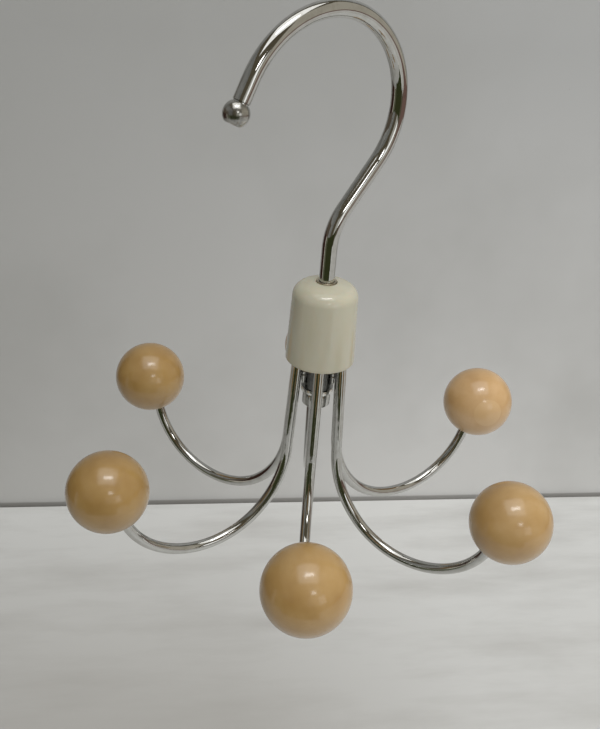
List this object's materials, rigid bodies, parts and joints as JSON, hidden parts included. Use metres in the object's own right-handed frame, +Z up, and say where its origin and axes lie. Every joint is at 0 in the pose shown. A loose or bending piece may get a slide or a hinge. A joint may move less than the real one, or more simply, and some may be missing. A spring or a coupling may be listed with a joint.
{
  "type": "multi-hook hanger",
  "caption": "Hanger with a chrome rod hook, a swivelling hub under a plastic cap, and U-bent wire arms that end in wooden balls, for hanging bags, belts or scarves on a rail.",
  "frame": {"origin": "seat of the hook: the lowest point of the rod's underside at the hook's crown, where a rail carries the hanger", "axes": "+Z up along the swivel axis; the hook lies in the X-Z plane with its tip bead towards -X; the swivel axis stands at x = 4.78 mm"},
  "size_m": [0.1634, 0.1564, 0.1721],
  "materials": {
    "chrome": "bright chrome plating on steel wire and rod",
    "plated_steel": "plain zinc plating",
    "ivory_plastic": "glossy moulded ivory",
    "bush_plastic": "natural nylon",
    "lacquered_wood": "clear gloss lacquer over turned beech"
  },
  "bodies": {
    "hook": {"hook_rod": "chrome", "hook_tip_bead": "chrome", "shank_ferrule": "chrome", "stop_collar": "plated_steel", "thrust_washer": "chrome", "end_collar": "chrome"},
    "arm_ring": {"cap": "ivory_plastic", "hub_sleeve": "chrome", "pivot_bush": "bush_plastic", "upper_washer": "plated_steel", "arm_1": "chrome", "arm_2": "chrome", "arm_3": "chrome", "arm_4": "chrome", "arm_5": "chrome", "arm_6": "chrome", "ball_1": "lacquered_wood", "ball_2": "lacquered_wood", "ball_3": "lacquered_wood", "ball_4": "lacquered_wood", "ball_5": "lacquered_wood", "ball_6": "lacquered_wood"}
  },
  "joints": [
    {"name": "swivel", "type": "hinge", "parent": "hook", "child": "arm_ring", "pos_m": [0.00478, 0, -0.10191], "axis": [0, 0, 1], "continuous": true}
  ]
}
